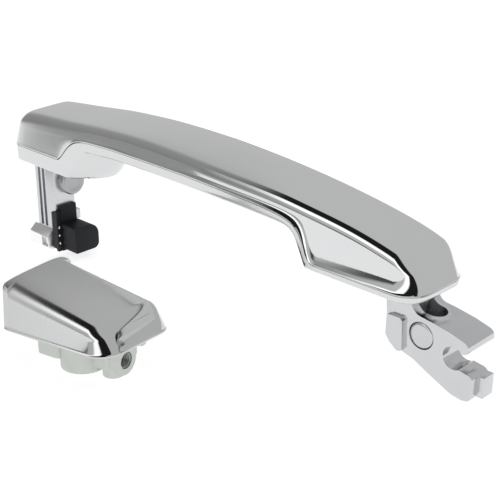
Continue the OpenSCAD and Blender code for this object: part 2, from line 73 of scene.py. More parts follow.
# The ends lean as they climb and the latch end is cut askew, fading out over these lengths.
REAR_LEAN = 0.8
REAR_SKEW = 0.15
REAR_FADE = 24
FRONT_LEAN = 0.2
FRONT_FADE = 20
# Share of the width that the bow of the sides takes away at each end.
REAR_BOW = 0.05
FRONT_BOW = 0.02
CROWN_H = 1.1
REAR_EDGE_R = 5.8
FRONT_EDGE_R = 3.4
GRIP_EDGE_Z = 20.4
REAR_EDGE_Z = 7.6
FRONT_EDGE_Z = 2.8
# The walls flare at their foot by FLARE, growing by FLARE_MORE from the middle over FLARE_RUN.
FLARE = 1
FLARE_MORE = 1.2
FLARE_BEND = 1.4
FLARE_RUN = 60
# The ends towards +X swell from rim to top in one quarter curve, which draws them in as it climbs.
SWELL_START = math.radians(30)
WALL_PART = 0.4
HOOK_END_IN = 3.8
HOOK_END_RUN = 24
# How much of the depth under the skin comes off the top edge's radius, and the least height of a wall.
DEPTH_SHARE = 0.7
LEAST_WALL = 0.5

BAND_H = 4.2
BELLY_H = 1.4
LOBE_X = -HALF_L + 52
LOBE_BOW = 14
LOBE_RISE = 15
COVER_INSET = 0.3
COVER_EDGE_R = 1.3
COVER_REAR_X = -60
COVER_REAR_Z = GRIP_EDGE_Z - BAND_H - 1.4
COVER_FRONT_X = 65.4
SEAT_GAP = 0.2
ROOT_ROOM = 0.4

CAP_L = 51.5
CAP_W = 35
CAP_H = 16.6
CAP_LOW_H = 9.4
CAP_TILT = 1.3
CAP_CROWN = 1.9
CAP_CROWN_LOSS = 0.9
CAP_SKEW = 0.12
CAP_FLARE = 1.5
CAP_FLARE_LOSS = 1.1
CAP_LIP = 0.35
CAP_LIP_R = 0.25
CAP_RIM_Z = 1.1
CAP_EDGE_R = 3.4
CAP_EDGE_MORE = 1.4
CAP_FLAT_EDGE = 4
CAP_FLAT_SHARE = 0.45
CAP_LEAST_R = 0.4
CAP_END_IN = 3.4
CAP_END_RUN = 18


# ---------------------------------------------------------------- curves

class Profile:
    """A smooth curve through knots that never overshoots them, softened over a few millimetres."""

    STEP = 0.2

    def __init__(self, knots, soften):
        k = np.array(knots, float)
        xs, ys = k[:, 0], k[:, 1]
        sec = np.diff(ys) / np.diff(xs)
        slope = np.empty(len(k))
        slope[0], slope[-1] = sec[0], sec[-1]
        for i in range(1, len(k) - 1):
            a, b = sec[i - 1], sec[i]
            slope[i] = 0 if a * b <= 0 else 2 * a * b / (a + b)
        pad = 4 * soften
        self.xs = np.arange(xs[0] - pad, xs[-1] + pad + self.STEP, self.STEP)
        x = np.clip(self.xs, xs[0], xs[-1])
        i = np.clip(np.searchsorted(xs, x, side="right") - 1, 0, len(k) - 2)
        w = xs[i + 1] - xs[i]
        t = (x - xs[i]) / w
        self.ys = (
            ys[i] * (2 * t**3 - 3 * t**2 + 1)
            + slope[i] * w * (t**3 - 2 * t**2 + t)
            + ys[i + 1] * (3 * t**2 - 2 * t**3)
            + slope[i + 1] * w * (t**3 - t**2)
        )
        # Past its ends the curve goes on straight, so softening leaves the ends where they are.
        self.ys += slope[0] * np.minimum(self.xs - xs[0], 0) + slope[-1] * np.maximum(self.xs - xs[-1], 0)
        half = max(1, int(soften / self.STEP))
        kernel = np.ones(2 * half + 1) / (2 * half + 1)
        for _ in range(2):
            padded = np.pad(self.ys, half, mode="reflect", reflect_type="odd")
            self.ys = np.convolve(padded, kernel, mode="valid")

    def __call__(self, x):
        return np.interp(x, self.xs, self.ys)


def clamp01(t):
    return np.clip(t, 0, 1)


def ease(t):
    u = clamp01(t)
    return u * u * (3 - 2 * u)


# ---------------------------------------------------------------- skins made of rings and a patch

def corner_steps(lo, hi, count):
    return np.radians(np.linspace(lo, hi, count))


def near_side(a, b, ra, rb, stations, q):
    left = [(-a + ra - ra * math.cos(f), -b + ra - ra * math.sin(f), -math.cos(f), -math.sin(f))
            for f in corner_steps(45, 90, q + 1)[:-1]]
    right = [(a - rb + rb * math.cos(f), -b + rb - rb * math.sin(f), math.cos(f), -math.sin(f))
             for f in corner_steps(90, 45, q + 1)[1:]]
    return left + [(x, -b, 0, -1) for x in stations] + right


def end_side(a, b, r, rf, s, q, mids):
    near = [(s * (a - r + r * math.cos(f)), -b + r - r * math.sin(f), s * math.cos(f), -math.sin(f))
            for f in corner_steps(45, 0, q + 1)]
    middle = [(s * a, -b + r + (2 * b - r - rf) * (i + 1) / mids, s, 0) for i in range(mids)]
    far = [(s * (a - rf + rf * math.cos(f)), b - rf + rf * math.sin(f), s * math.cos(f), math.sin(f))
           for f in corner_steps(0, 45, q + 1)[1:-1]]
    return near + middle + far


def flipped(points):
    return [(x, -y, nx, -ny) for x, y, nx, ny in reversed(points)]


def plan_loop(a, b, ra, rb, rf, stations, q, mids):
    """Near side, +X end, far side and -X end of a long rounded plate, with outward directions."""
    near = near_side(a, b, ra, rb, stations, q)
    hook = end_side(a, b, rb, rf, 1, q, mids)[1:]
    far = flipped(near_side(a, b, ra, rf, stations, q))
    latch = list(reversed(end_side(a, b, ra, ra, -1, q, mids)[1:]))
    return np.array(near + hook + far + latch, float)


def patch_points(ring, m, k):
    """Inner points spread between the four sides of a ring."""
    u = (np.arange(1, m) / m)[:, None, None]
    v = (np.arange(1, k) / k)[None, :, None]
    near = ring[1:m][:, None]
    far = ring[m + k + m - np.arange(1, m)][:, None]
    hook = ring[m + np.arange(1, k)][None]
    latch = ring[2 * m + k + (k - np.arange(1, k))][None]
    c00, c10, c11, c01 = ring[0], ring[m], ring[m + k], ring[2 * m + k]
    return (
        (1 - v) * near + v * far + (1 - u) * latch + u * hook
        - ((1 - u) * (1 - v) * c00 + u * (1 - v) * c10 + u * v * c11 + (1 - u) * v * c01)
    ).reshape(-1, ring.shape[1])


def patch_faces(m, k, base, inner):
    def at(i, j):
        if j == 0:
            return base + i
        if i == m:
            return base + m + j
        if j == k:
            return base + m + k + (m - i)
        if i == 0:
            return base + 2 * m + k + (k - j)
        return inner + (i - 1) * (k - 1) + j - 1
    return [(at(i, j), at(i + 1, j), at(i + 1, j + 1), at(i, j + 1)) for i in range(m) for j in range(k)]


def ring_faces(lo, hi, n):
    return [(lo + i, lo + (i + 1) % n, hi + (i + 1) % n, hi + i) for i in range(n)]


def skinned(rings_up, rings_down, m, k, height_up, height_down):
    """A closed solid: rings_down from its inner patch out to the rim, rings_up from the rim to its crown."""
    rings = rings_down + rings_up
    n = len(rings[0])
    points = [r[:, :3] for r in rings]
    top = patch_points(rings[-1][:, :2], m, k)
    low = patch_points(rings[0][:, :2], m, k)
    top = np.column_stack([top, height_up(top[:, 0], top[:, 1])])
    low = np.column_stack([low, height_down(low[:, 0], low[:, 1])])
    verts = np.concatenate(points + [top, low])
    faces = []
    for r in range(len(rings) - 1):
        faces += ring_faces(r * n, (r + 1) * n, n)
    last = (len(rings) - 1) * n
    faces += patch_faces(m, k, last, len(rings) * n)
    faces += [tuple(reversed(f)) for f in patch_faces(m, k, 0, len(rings) * n + len(top))]
    return verts, faces


# ---------------------------------------------------------------- objects

def add_object(name, mesh):
    obj = bpy.data.objects.new(name, mesh)
    bpy.context.scene.collection.objects.link(obj)
    return obj


def solid(verts, faces, name="shape"):
    mesh = bpy.data.meshes.new(name)
    mesh.from_pydata([tuple(map(float, v)) for v in verts], [], [tuple(int(i) for i in f) for f in faces])
    bm = bmesh.new()
    bm.from_mesh(mesh)
    bmesh.ops.recalc_face_normals(bm, faces=bm.faces)
    bm.to_mesh(mesh)
    bm.free()
    return add_object(name, mesh)


AXES = {
    "x": lambda p, h: (h, p[0], p[1]),
    "y": lambda p, h: (p[0], h, p[1]),
    "z": lambda p, h: (p[0], p[1], h),
}


def extrude(outline, axis, lo, hi):
    """A prism: the outline's two numbers are the other two axes in order."""
    n = len(outline)
    put = AXES[axis]
    verts = [put(p, lo) for p in outline] + [put(p, hi) for p in outline]
    faces = [tuple(range(n)), tuple(range(2 * n - 1, n - 1, -1))]
    faces += [(i, (i + 1) % n, n + (i + 1) % n, n + i) for i in range(n)]
    return solid(verts, faces)


def block(lo, hi):
    return extrude([(lo[0], lo[1]), (hi[0], lo[1]), (hi[0], hi[1]), (lo[0], hi[1])], "z", lo[2], hi[2])


def rounded(outline, radius, steps=6):
    """The outline with each corner turned into an arc, no longer than its sides allow."""
    out = []
    pts = [Vector(p) for p in outline]
    for i, p in enumerate(pts):
        a, b = pts[i - 1] - p, pts[(i + 1) % len(pts)] - p
        half = a.angle(b) / 2
        r = radius[i] if isinstance(radius, (list, tuple)) else radius
        d = min(r / max(math.tan(half), 0.05), 0.45 * a.length, 0.45 * b.length)
        if d < 0.02:
            out.append(tuple(p))
            continue
        s, e = p + a.normalized() * d, p + b.normalized() * d
        for j in range(steps + 1):
            t = j / steps
            w = 2 * t * (1 - t) * math.sin(half)
            q = (s * (1 - t) ** 2 + p * w + e * t**2) / ((1 - t) ** 2 + w + t**2)
            out.append(tuple(q))
    return out


def lathe(profile, axis, centre, steps=64):
    """A turned solid: profile is (radius, height) pairs along the axis, from the bottom up."""
    put = {
        "x": lambda r, f, h: (h, r * math.cos(f), r * math.sin(f)),
        "y": lambda r, f, h: (r * math.sin(f), h, r * math.cos(f)),
        "z": lambda r, f, h: (r * math.cos(f), r * math.sin(f), h),
    }[axis]
    verts, faces = [], []
    for r, h in profile:
        for j in range(steps):
            verts.append(Vector(put(max(r, 1e-4), 2 * math.pi * j / steps, h)) + Vector(centre))
    for i in range(len(profile) - 1):
        faces += ring_faces(i * steps, (i + 1) * steps, steps)
    faces.append(tuple(range(steps)))
    faces.append(tuple(range(len(verts) - 1, len(verts) - steps - 1, -1)))
    return solid(verts, faces)


def cylinder(centre, axis, radius, length, steps=64):
    return lathe([(radius, 0), (radius, length)], axis, centre, steps)


def settled(obj):
    """The object with its modifiers worked into its mesh."""
    graph = bpy.context.evaluated_depsgraph_get()
    mesh = bpy.data.meshes.new_from_object(obj.evaluated_get(graph))
    obj.modifiers.clear()
    obj.data = mesh
    return obj


def joined(base, tool, how):
    cut = base.modifiers.new("join", "BOOLEAN")
    cut.operation = how
    cut.solver = "EXACT"
    cut.object = tool
    settled(base)
    bpy.data.objects.remove(tool)
    return base


def plus(base, *tools):
    for tool in tools:
        joined(base, tool, "UNION")
    return base


def minus(base, *tools):
    for tool in tools:
        joined(base, tool, "DIFFERENCE")
    return base


WELD = 0.005
FLAT_ANGLE = math.radians(0.5)
BEVEL_ANGLE = math.radians(28)


def softened(obj, width, segments=3):
    """The object with its flat faces made whole and its sharp edges rounded."""
    bm = bmesh.new()
    bm.from_mesh(obj.data)
    bmesh.ops.remove_doubles(bm, verts=bm.verts, dist=WELD)
    bmesh.ops.dissolve_limit(bm, angle_limit=FLAT_ANGLE, verts=bm.verts, edges=bm.edges)
    bm.to_mesh(obj.data)
    bm.free()
    edge = obj.modifiers.new("edge", "BEVEL")
    edge.limit_method = "ANGLE"
    edge.angle_limit = BEVEL_ANGLE
    edge.width = width
    edge.segments = segments
    edge.use_clamp_overlap = True
    edge.miter_outer = "MITER_ARC"
    return settled(obj)


def place(obj, name, node, body, slot, matrix=FROM_NOTCH, angle=35):
    """Names the piece, moves it to the frame, and lets it stand for its CAD node."""
    obj.name = name
    obj.data.name = name
    obj.data.transform(matrix)
    for poly in obj.data.polygons:
        poly.use_smooth = True
    obj.data.set_sharp_from_angle(angle=math.radians(angle))
    obj.data.materials.clear()
    obj.data.materials.append(LOOKS[slot])
    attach(obj, body)
    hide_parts(node)
    return obj


# ---------------------------------------------------------------- materials

def node_maker(tree):
    """A function that adds a node: values go to its sockets, by name or number, and settings to the node."""
    def make(kind, x, y, values=None, **settings):
        node = tree.nodes.new(kind)
        node.location = (x, y)
        for key, value in settings.items():
            setattr(node, key, value)
        for socket, value in (values or {}).items():
            node.inputs[socket].default_value = value
        return node
    return make


def ranges(source, target=(0, 1)):
    """Socket values of a Map Range node, from two (low, high) pairs."""
    return {"From Min": source[0], "From Max": source[1], "To Min": target[0], "To Max": target[1]}


LEAST_ROUGH = 0.01
# The middle of a noise texture's values, which a patchy property is spread over.
NOISE_SPAN = (0.3, 0.7)
GRAIN_DEPTH = 0.2 * MM


def look(name, color, metallic, rough, patch_scale, grain, mottling):
    """A worn or moulded surface: its roughness drifts in patches and its grain is a fine bump."""
    rough_mid, rough_drift = rough
    grain_strength, grain_scale = grain
    mat = bpy.data.materials.new(name)
    mat.use_nodes = True
    tree = mat.node_tree
    tree.nodes.clear()
    make = node_maker(tree)
    link = tree.links.new
    out = make("ShaderNodeOutputMaterial", 800, 0)
    shader = make("ShaderNodeBsdfPrincipled", 500, 0, {
        "Metallic": metallic, "Specular IOR Level": SPECULAR.get(name, 0.5)})
    link(shader.outputs[0], out.inputs[0])
    where = make("ShaderNodeTexCoord", -900, 0)

    patches = make("ShaderNodeTexNoise", -600, 200, {"Scale": patch_scale, "Detail": 6, "Roughness": 0.6})
    link(where.outputs["Object"], patches.inputs["Vector"])
    rough_span = (max(LEAST_ROUGH, rough_mid - rough_drift), rough_mid + rough_drift)
    spread = make("ShaderNodeMapRange", -300, 200, ranges(NOISE_SPAN, rough_span))
    link(patches.outputs[0], spread.inputs["Value"])
    if name in HAZE:
        split = make("ShaderNodeSeparateXYZ", -600, 700)
        link(where.outputs["Object"], split.inputs[0])
        x_from, x_to, extra = HAZE[name]
        along = make("ShaderNodeMapRange", -300, 700, ranges((x_from, x_to), (extra, 0)))
        link(split.outputs["X"], along.inputs["Value"])
        total = make("ShaderNodeMath", 0, 500, operation="ADD")
        link(along.outputs[0], total.inputs[0])
        link(spread.outputs[0], total.inputs[1])
        link(total.outputs[0], shader.inputs["Roughness"])
    else:
        link(spread.outputs[0], shader.inputs["Roughness"])

    tint = make("ShaderNodeValToRGB", -300, 450)
    for end, position, change in zip(tint.color_ramp.elements, NOISE_SPAN, (-mottling, mottling)):
        end.position = position
        end.color = [min(1, c * (1 + change)) for c in color] + [1]
    link(patches.outputs[0], tint.inputs[0])
    link(tint.outputs[0], shader.inputs["Base Color"])

    fine = make("ShaderNodeTexNoise", -600, -200, {"Scale": grain_scale, "Detail": 4})
    link(where.outputs["Object"], fine.inputs["Vector"])
    bump = make("ShaderNodeBump", 200, -200, {"Strength": grain_strength, "Distance": GRAIN_DEPTH})
    link(fine.outputs[0], bump.inputs["Height"])
    link(bump.outputs[0], shader.inputs["Normal"])
    return mat


# Plating polished less at one end: the x of that end, the x where it clears, the roughness added at the end.
HAZE = {"shell_chrome": (-0.235, -0.09, 0.17), "cap_chrome": (-0.155, -0.106, 0.40)}
# The black moulding mirrors less than other plastics do.
SPECULAR = {"shoe_black": 0.2}
# Colour, metallic, roughness and its drift, scale of the patches, grain strength and scale, mottling.
FINISHES = {
    "shell_chrome": ((0.70, 0.705, 0.71), 1, (0.055, 0.02), 60, (0.015, 900), 0.01),
    "cover_chrome": ((0.68, 0.685, 0.69), 1, (0.13, 0.03), 80, (0.02, 1200), 0.01),
    "beam_steel": ((0.45, 0.46, 0.47), 1, (0.4, 0.08), 90, (0.2, 2500), 0.06),
    "screw_steel": ((0.62, 0.63, 0.64), 1, (0.3, 0.06), 200, (0.1, 3000), 0.04),
    "leg_metal": ((0.62, 0.63, 0.645), 1, (0.3, 0.05), 110, (0.12, 2600), 0.03),
    "boss_grey": ((0.40, 0.41, 0.415), 1, (0.34, 0.05), 140, (0.12, 2600), 0.03),
    "foot_chrome": ((0.93, 0.93, 0.935), 1, (0.3, 0.03), 150, (0.03, 1500), 0.02),
    "shoe_black": ((0.009, 0.010, 0.012), 0, (0.42, 0.07), 160, (0.35, 4200), 0.15),
    "stud_steel": ((0.85, 0.85, 0.86), 1, (0.2, 0.04), 200, (0.05, 3000), 0.03),
    "hook_metal": ((0.60, 0.61, 0.62), 1, (0.15, 0.04), 100, (0.12, 2400), 0.03),
    "pin_steel": ((0.58, 0.59, 0.60), 1, (0.2, 0.05), 120, (0.1, 2400), 0.03),
    "cap_chrome": ((0.61, 0.615, 0.615), 1, (0.06, 0.02), 60, (0.015, 900), 0.02),
    "cap_cast": ((0.58, 0.605, 0.575), 0.85, (0.46, 0.07), 120, (0.5, 2200), 0.07),
    "insert_steel": ((0.34, 0.35, 0.34), 1, (0.42, 0.08), 160, (0.25, 2600), 0.06),
    "peg_cast": ((0.58, 0.605, 0.575), 0.85, (0.44, 0.07), 140, (0.4, 2200), 0.06),
}
LOOKS = {name: look(name, *finish) for name, finish in FINISHES.items()}


# ---------------------------------------------------------------- handle shell

edge_z = Profile([
    (-HALF_L, REAR_EDGE_Z), (-79, REAR_EDGE_Z), (-76, REAR_EDGE_Z + 2), (-72.5, 13.2), (-69, 16.2),
    (-64.5, 18.4), (-57, 19.7), (-36, GRIP_EDGE_Z), (0, GRIP_EDGE_Z - 0.2), (24, 19.3), (44, 18.3),
    (53, 17.4), (58.5, 16), (62, 13.2), (64.5, 8.6), (66.5, 4.4), (69, FRONT_EDGE_Z), (HALF_L, FRONT_EDGE_Z),
], 0.9)
near_z = Profile([
    (-HALF_L, 20.4), (-98, 21.8), (-80, 22.8), (-52, 24.9), (-25, 26), (0, 25.4), (25, 23.8), (50, 22.2),
    (65, 20.6), (80, 18.9), (90, 17.2), (100, 14.9), (106, 13.4), (110, 12), (HALF_L, 10.6),
], 4)
far_z = Profile([
    (-HALF_L, 22.6), (-98, 24.2), (-80, 25.8), (-52, 28.4), (-25, 29.3), (0, 28.9), (25, 27.7), (50, 25.6),
    (65, 23.7), (80, 21.3), (90, 19.4), (100, 17), (106, 14.9), (110, 13), (HALF_L, 11.2),
], 4)
cover_knots = Profile([
    (COVER_REAR_X, COVER_REAR_Z), (-36, GRIP_EDGE_Z - BAND_H), (0, 15.8), (24, 15.2), (44, 14.6),
    (53, 14.1), (57, 13.2), (60.3, 10.6), (62.8, 5.6), (COVER_FRONT_X, 0),
], 0.9)
edge_r = Profile([
    (-HALF_L, REAR_EDGE_R), (-60, REAR_EDGE_R - 1), (60, FRONT_EDGE_R), (HALF_L, FRONT_EDGE_R),
], 4)


def rear_share(x):
    """1 at the latch end, falling to 0 over REAR_FADE."""
    return clamp01(1 - (x + HALF_L) / REAR_FADE)


def bow(x):
    return 1 - np.where(x < 0, REAR_BOW, FRONT_BOW) * (np.abs(x) / HALF_L) ** 4


def lean_at(x):
    return REAR_LEAN * rear_share(x) - FRONT_LEAN * clamp01(1 - (HALF_L - x) / FRONT_FADE)


def top_z(x, y):
    """The top is higher on the far side and crowned between its edges."""
    n, f = near_z(x), far_z(x)
    v = np.clip(y / HALF_W, -1, 1)
    return (n + f) / 2 + v * (f - n) / 2 + CROWN_H * (1 - v**4)


def shell_xy(loop, inset, h, end_in=0):
    x, y, nx, ny = loop.T
    across = (y - ny * inset) * bow(x)
    skew = REAR_SKEW * (across + HALF_W) * rear_share(x)
    shift = h * lean_at(x) + skew - end_in * clamp01(1 - (HALF_L - x) / HOOK_END_RUN)
    return np.column_stack([x - nx * inset + shift, across])


def swell_share(loop):
    """Share of a wall that swells from rim to top in one quarter curve: the end towards +X."""
    x, _, nx, _ = loop.T
    return np.where(x > 0, np.maximum(0, nx) ** 2, 0)


def swell_turn(h, part):
    return SWELL_START + (math.pi / 2 - SWELL_START) * (WALL_PART * h + (1 - WALL_PART) * part)


def swell_in(s):
    return (math.cos(SWELL_START) - math.cos(s)) / math.cos(SWELL_START)


def swell_up(s):
    return (math.sin(s) - math.sin(SWELL_START)) / (1 - math.sin(SWELL_START))


def wall_inset(x, h):
    """The walls flare at their foot, more so towards the hook end."""
    more = ease(x / FLARE_RUN)
    return (FLARE + FLARE_MORE * more) * (1 - (1 - h) ** (1 + FLARE_BEND * more))


def shell_ring(loop, h, part, off):
    """One ring of the skin: h climbs the wall from 0 to 1, then part goes round the soft top edge."""
    x = loop[:, 0]
    swell, s, a = swell_share(loop), swell_turn(h, part), math.pi / 2 * part
    r = edge_r(x) - off * DEPTH_SHARE
    lo = edge_z(x)
    plain = wall_inset(x, h) + r * (1 - math.cos(a))
    curved = (wall_inset(x, 1) + r) * swell_in(s)
    inset = off + (1 - swell) * plain + swell * curved
    q = shell_xy(loop, inset, h, HOOK_END_IN * swell_in(s))
    zt = top_z(q[:, 0], q[:, 1]) - off
    rv = np.minimum(r, zt - lo - LEAST_WALL)
    plain_z = (zt - rv - lo) * h + rv * math.sin(a)
    return np.column_stack([q, lo + (1 - swell) * plain_z + swell * (zt - lo) * swell_up(s)])


def rim_ring(loop, inset, lift):
    return np.column_stack([shell_xy(loop, inset, 0), edge_z(loop[:, 0]) + lift])


WALL_OPENS = 1.5
EDGE_OPENS = 3
RIM_SHARE = 0.06
WALL_RINGS = 12
EDGE_RINGS = 15


def shell_rings(off):
    """The latch corners open out as the rings climb, so that the soft edge never folds."""
    walls = [shell_ring(handle_loop(WALL_OPENS * h), h, 0, off)
             for h in np.linspace(RIM_SHARE, 1, WALL_RINGS)[:-1]]
    tops = [shell_ring(handle_loop(WALL_OPENS + EDGE_OPENS * part), 1, part, off)
            for part in np.linspace(0, 1, EDGE_RINGS)]
    return walls + tops


# Stations along the sides, closest where the lower edge turns up to the grip and down to the hook end.
handle_stations = np.concatenate([
    np.arange(-103, -81, 1.6), np.arange(-81, -56, 0.8), np.arange(-55, 50, 2.1),
    np.arange(50, 71, 0.7), np.arange(72, 102, 1.6), [HALF_L - FRONT_CORNER_R],
])
CORNER_Q = 7
END_MIDS = 14
handle_m = len(handle_stations) + 2 * CORNER_Q
handle_k = 2 * CORNER_Q + END_MIDS


def handle_loop(opened):
    rear_r = REAR_CORNER_R + opened
    stations = np.concatenate([[-HALF_L + rear_r], handle_stations])
    return plan_loop(
        HALF_L, HALF_W, rear_r, FRONT_CORNER_R, FAR_CORNER_R, stations, CORNER_Q, END_MIDS)


def make_outer_shell():
    down = list(reversed(shell_rings(SHELL_T)))
    round_rim = [
        (SHELL_T, RIM_R), (SHELL_T - 0.1, 0.1), (SHELL_T - RIM_R, 0), (RIM_R, 0), (0.1, 0.1), (0, RIM_R)]
    down += [rim_ring(handle_loop(0), inset, lift) for inset, lift in round_rim]
    verts, faces = skinned(
        shell_rings(0), down, handle_m, handle_k, top_z, lambda x, y: top_z(x, y) - SHELL_T)
    return place(solid(verts, faces), "shell_skin", "outer_shell", "handle", "shell_chrome", angle=50)


# ---------------------------------------------------------------- inner cover

BELLY_REAR_RUN = 20
BELLY_FRONT_X = 58
BELLY_FRONT_RUN = 8
COVER_RIM_IN = 0.35
COVER_RIM_DOWN = 0.3
SOCKET_TOP = 11


def lobe_edge(y):
    return LOBE_X - LOBE_BOW * (np.abs(y) / HALF_W) ** 1.7


def cover_z(x, y):
    """The underside: flat at both bases, with a belly along the grip between them."""
    v = np.minimum(1, np.abs(y) / HALF_W)
    belly = ease((x - COVER_REAR_X) / BELLY_REAR_RUN) * ease((BELLY_FRONT_X - x) / BELLY_FRONT_RUN)
    grip = cover_knots(x) - BELLY_H * (1 - v * v) * belly
    grip = np.where(x > COVER_FRONT_X, 0, np.where(x < COVER_REAR_X, COVER_REAR_Z, grip))
    return grip * ease((x - lobe_edge(y)) / LOBE_RISE)


def root_socket(x0, y0, x1, y1):
    """The hole in the cover that the root of the leg or the hook goes up through."""
    return block((x0 - ROOT_ROOM, y0 - ROOT_ROOM, -1), (x1 + ROOT_ROOM, y1 + ROOT_ROOM, SOCKET_TOP))


def make_inner_cover():
    loop = handle_loop(0)
    hi = edge_z(loop[:, 0]) - SEAT_GAP
    base = shell_xy(loop, COVER_INSET, 0)
    tall = hi - cover_z(base[:, 0], base[:, 1])
    r = np.minimum(COVER_EDGE_R, 0.42 * tall)
    wall_top = hi - COVER_RIM_DOWN
    side = [
        np.column_stack([shell_xy(loop, COVER_INSET + COVER_RIM_IN, 0), hi]),
        np.column_stack([base, wall_top]),
    ]
    side += [np.column_stack([base, wall_top - (tall - r - COVER_RIM_DOWN) * s]) for s in (0.33, 0.67)]
    for a in np.radians(np.linspace(0, 90, 7)):
        q = shell_xy(loop, COVER_INSET + r * (1 - math.cos(a)), 0)
        z = cover_z(q[:, 0], q[:, 1])
        side.append(np.column_stack([q, z + r * (1 - math.sin(a))]))
    verts, faces = skinned(
        list(reversed(side)), [], handle_m, handle_k, lambda px, py: edge_z(px) - SEAT_GAP, cover_z)
    cover = solid(verts, faces)
    minus(
        cover,
        root_socket(LEG_X0, LEG_Y0, LEG_X1, LEG_Y1),
        root_socket(HOOK_X0, HOOK_Y0, HOOK_X0 + HOOK_ROOT_X, HOOK_Y0 + HOOK_W),
    )
    return place(cover, "cover_band", "inner_cover", "handle", "cover_chrome", angle=40)


# ---------------------------------------------------------------- latch leg, boss, foot and shoe

LEG_X = 14
LEG_Y = 11
LEG_DEPTH = 43
LEG_X0 = -109.8
LEG_Y0 = -6
LEG_X1 = LEG_X0 + LEG_X
LEG_Y1 = LEG_Y0 + LEG_Y
BOSS_R = 6.2
BOSS_DEPTH = 10.5
BOSS_Y = 2.4
BOSS_PIN_R = 3.5
BOSS_REACH = 4.2
FLUTE_D = 2.2
FLUTE_W = 1.9
FLUTE_Z0 = -33
FLUTE_Z1 = 7
FOOT_REACH = 3.7
SHOE_T = 2.2
SHOE_TOP = 21.5
LUG_REACH = 10
LUG_W = 13.4
LUG_H = 12.6
LUG_LIFT = 0.8
HOOK_X0 = 95.6
HOOK_ROOT_X = 10.2
HOOK_Y0 = -6.5
HOOK_W = 15.4
JAW_W = 9.4
NOTCH_R = 4.2
NOTCH_MOUTH = 7
PIN_R = 4.8
PIN_AT = (111, -13.4)


def make_latch_leg():
    leg = block((LEG_X0, LEG_Y0, -LEG_DEPTH), (LEG_X1, LEG_Y1, REAR_EDGE_Z))
    plus(leg, block((LEG_X1 - 3, LEG_Y1 - 1, -30), (LEG_X1 + 1.2, LEG_Y1 + 2, -25.5)))
    for x0 in (LEG_X0 + 2, LEG_X0 + 5.2):
        x1 = x0 + FLUTE_W
        for lo, hi in ((LEG_Y0 - 1, LEG_Y0 + FLUTE_D), (LEG_Y1 - FLUTE_D, LEG_Y1 + 1)):
            flute = rounded([(x0, lo), (x1, lo), (x1, hi), (x0, hi)], 0.5)
            minus(leg, extrude(flute, "z", FLUTE_Z0, FLUTE_Z1))
    minus(
        leg,
        block((LEG_X1 - 6, LEG_Y0 - 1, -4.5), (LEG_X1 + 1, LEG_Y0 + 3, 0)),
        cylinder((LEG_X1 - 9, BOSS_Y, -BOSS_DEPTH), "x", BOSS_PIN_R, 12),
        block((LEG_X0 - 1, LEG_Y0 - 1, -LEG_DEPTH - 1), (LEG_X0 + 0.6, LEG_Y0 + 2, -LEG_DEPTH + 8)),
    )
    softened(leg, 0.45)
    return place(leg, "leg_casting", "latch_leg", "handle", "leg_metal")


def make_leg_boss():
    reach = BOSS_REACH
    boss = lathe([
        (BOSS_PIN_R, -8.5), (BOSS_PIN_R, 0), (BOSS_R - 0.3, 0), (BOSS_R, 0.3), (BOSS_R, reach - 0.9),
        (BOSS_R - 0.12, reach - 0.5), (BOSS_R - 0.42, reach - 0.16), (BOSS_R - 0.9, reach),
        (BOSS_R - 1.6, reach), (BOSS_R - 2.1, reach - 0.2), (1.2, reach - 0.3), (0, reach - 0.3),
    ], "x", (LEG_X1, BOSS_Y, -BOSS_DEPTH), 96)
    return place(boss, "boss_disc", "leg_boss", "handle", "boss_grey")


def make_leg_foot():
    d = LEG_DEPTH
    tip_y = LEG_Y0 - FOOT_REACH
    side = rounded([
        (LEG_Y0, -d - 0.4), (LEG_Y0 - 1.6, -d - 0.4), (tip_y, -d + 1), (tip_y, -36.6),
        (LEG_Y0 - 2.4, -35.4), (LEG_Y0, -33.4)], [0.1, 1.2, 1.6, 1.0, 0.8, 0.1])
    foot = extrude(side, "x", LEG_X0 - 2.6, LEG_X1 - 2.8)
    minus(foot, block((LEG_X0 + 6.6, tip_y - 1, -41.6), (LEG_X0 + 11, tip_y + 2.2, -37)))
    softened(foot, 0.4)
    return place(foot, "foot_lift", "leg_foot", "handle", "foot_chrome")


def make_guide_shoe():
    y0 = LEG_Y0 + 1.2
    x1 = LEG_X1
    d = LEG_DEPTH
    shoe = block((x1, y0, -d - 0.4), (x1 + SHOE_T, y0 + LEG_Y - 2.2, -SHOE_TOP))
    lug = rounded([
        (y0, -d + LUG_LIFT), (y0 + LUG_W, -d + LUG_LIFT), (y0 + LUG_W, -d + LUG_LIFT + LUG_H),
        (y0, -d + LUG_LIFT + LUG_H)], [0.6, 3, 8, 0.8], 16)
    plus(
        shoe,
        block((x1, LEG_Y0 - 0.9, -d - 0.4), (x1 + SHOE_T - 0.6, y0 + 0.3, -23.4)),
        block((x1 - 2.4, LEG_Y0 - 0.9, -d + 0.6), (x1 + 0.2, LEG_Y0 - 0.1, -24.4)),
        extrude(lug, "x", x1 + SHOE_T - 0.5, x1 + SHOE_T + LUG_REACH),
    )
    softened(shoe, 0.4)
    return place(shoe, "shoe_moulding", "guide_shoe", "handle", "shoe_black")


def make_shoe_studs():
    studs = None
    for z in (-31.5, -35.3, -39.2):
        stud = lathe([(0.7, 0), (0.7, 0.25), (0.55, 0.42), (0.25, 0.5), (0, 0.5)], "x",
                     (LEG_X1 + SHOE_T - 0.6, LEG_Y0 + 0.2, z), 32)
        studs = stud if studs is None else plus(studs, stud)
    return place(studs, "studs", "shoe_studs", "handle", "stud_steel")


# ---------------------------------------------------------------- pivot hook

